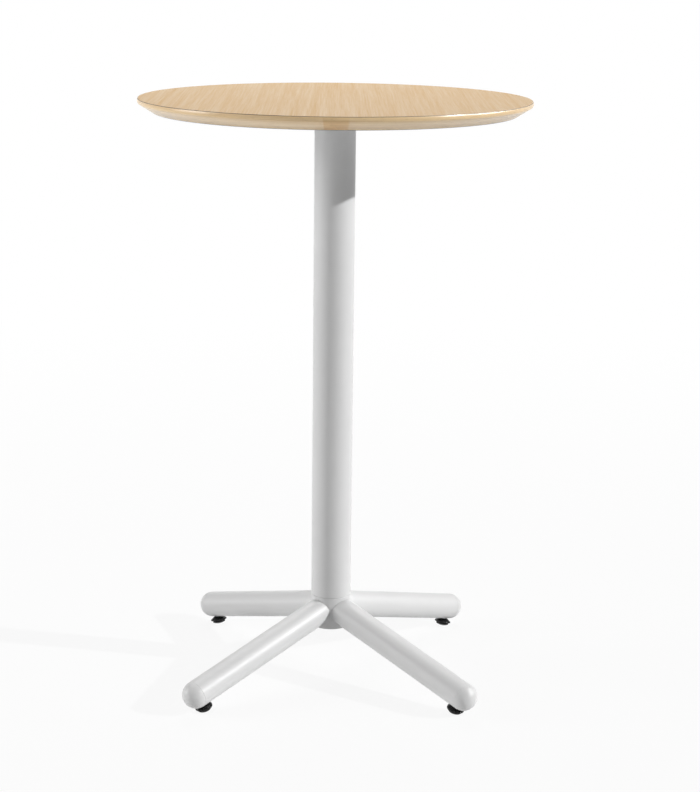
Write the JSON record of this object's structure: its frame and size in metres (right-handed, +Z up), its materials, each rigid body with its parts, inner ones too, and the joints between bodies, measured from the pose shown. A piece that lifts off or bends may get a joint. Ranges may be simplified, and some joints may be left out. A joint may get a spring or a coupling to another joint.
{
  "type": "standing meeting table",
  "caption": "Round bar-height meeting table: pale oak top with an undercut edge on a central column, sloping tube legs and screw feet that level it.",
  "frame": {"origin": "on the floor, below the centre of the round top", "axes": "+Z up; the front of the table faces -Y; the legs point along the diagonals of X and Y"},
  "size_m": [0.72, 0.72, 1.1],
  "materials": {
    "oak_laminate": "satin",
    "oak_lipping": "satin",
    "backing_laminate": "matte",
    "core_board": "matte",
    "powder_coat": "satin",
    "cast_cap": "satin",
    "bare_steel": "satin",
    "zinc_steel": "satin",
    "black_moulding": "matte",
    "black_gloss": "gloss"
  },
  "bodies": {
    "table": {"top_face_laminate": "oak_laminate", "top_backing_laminate": "backing_laminate", "top_core_board": "core_board", "edge_lipping_1": "oak_lipping", "edge_lipping_2": "oak_lipping", "edge_lipping_3": "oak_lipping", "edge_lipping_4": "oak_lipping", "threaded_inserts": "zinc_steel", "top_plate": "powder_coat", "top_plate_boss": "powder_coat", "top_screw_washers": "zinc_steel", "top_screws": "zinc_steel", "column_tube": "powder_coat", "tie_rod": "zinc_steel", "tie_rod_washer": "zinc_steel", "tie_rod_nut": "zinc_steel", "hub_tube": "powder_coat", "hub_head": "bare_steel", "hub_bottom_cover": "black_moulding", "leg_root_plugs": "bare_steel", "leg_bolts": "zinc_steel", "leg_bolt_saddles": "bare_steel", "leg_tube_front_left": "powder_coat", "leg_end_cap_front_left": "cast_cap", "leg_tube_front_right": "powder_coat", "leg_end_cap_front_right": "cast_cap", "leg_tube_back_right": "powder_coat", "leg_end_cap_back_right": "cast_cap", "leg_tube_back_left": "powder_coat", "leg_end_cap_back_left": "cast_cap"},
    "sole_front_left": {"foot_sole_front_left": "black_gloss"},
    "screw_front_left": {"foot_stud_front_left": "zinc_steel", "foot_collar_front_left": "black_gloss"},
    "sole_front_right": {"foot_sole_front_right": "black_gloss"},
    "screw_front_right": {"foot_stud_front_right": "zinc_steel", "foot_collar_front_right": "black_gloss"},
    "sole_back_right": {"foot_sole_back_right": "black_gloss"},
    "screw_back_right": {"foot_stud_back_right": "zinc_steel", "foot_collar_back_right": "black_gloss"},
    "sole_back_left": {"foot_sole_back_left": "black_gloss"},
    "screw_back_left": {"foot_stud_back_left": "zinc_steel", "foot_collar_back_left": "black_gloss"}
  },
  "joints": [
    {"name": "front_left_level", "type": "slide", "parent": "table", "child": "sole_front_left", "axis": [0.1806, 0.1806, -0.9668], "range_m": [0, 0.015]},
    {"name": "front_left_turn", "type": "hinge", "parent": "sole_front_left", "child": "screw_front_left", "pos_m": [-0.23262, -0.23262, 0.01546], "axis": [0.1806, 0.1806, -0.9668], "range_deg": [0, 3600]},
    {"name": "front_right_level", "type": "slide", "parent": "table", "child": "sole_front_right", "axis": [-0.1806, 0.1806, -0.9668], "range_m": [0, 0.015]},
    {"name": "front_right_turn", "type": "hinge", "parent": "sole_front_right", "child": "screw_front_right", "pos_m": [0.23262, -0.23262, 0.01546], "axis": [-0.1806, 0.1806, -0.9668], "range_deg": [0, 3600]},
    {"name": "back_right_level", "type": "slide", "parent": "table", "child": "sole_back_right", "axis": [-0.1806, -0.1806, -0.9668], "range_m": [0, 0.015]},
    {"name": "back_right_turn", "type": "hinge", "parent": "sole_back_right", "child": "screw_back_right", "pos_m": [0.23262, 0.23262, 0.01546], "axis": [-0.1806, -0.1806, -0.9668], "range_deg": [0, 3600]},
    {"name": "back_left_level", "type": "slide", "parent": "table", "child": "sole_back_left", "axis": [0.1806, -0.1806, -0.9668], "range_m": [0, 0.015]},
    {"name": "back_left_turn", "type": "hinge", "parent": "sole_back_left", "child": "screw_back_left", "pos_m": [-0.23262, 0.23262, 0.01546], "axis": [0.1806, -0.1806, -0.9668], "range_deg": [0, 3600]}
  ],
  "couplings": [
    {"joint": "front_left_turn", "follows": "front_left_level", "rad_per_m": 4188.8},
    {"joint": "front_right_turn", "follows": "front_right_level", "rad_per_m": 4188.8},
    {"joint": "back_right_turn", "follows": "back_right_level", "rad_per_m": 4188.8},
    {"joint": "back_left_turn", "follows": "back_left_level", "rad_per_m": 4188.8}
  ]
}
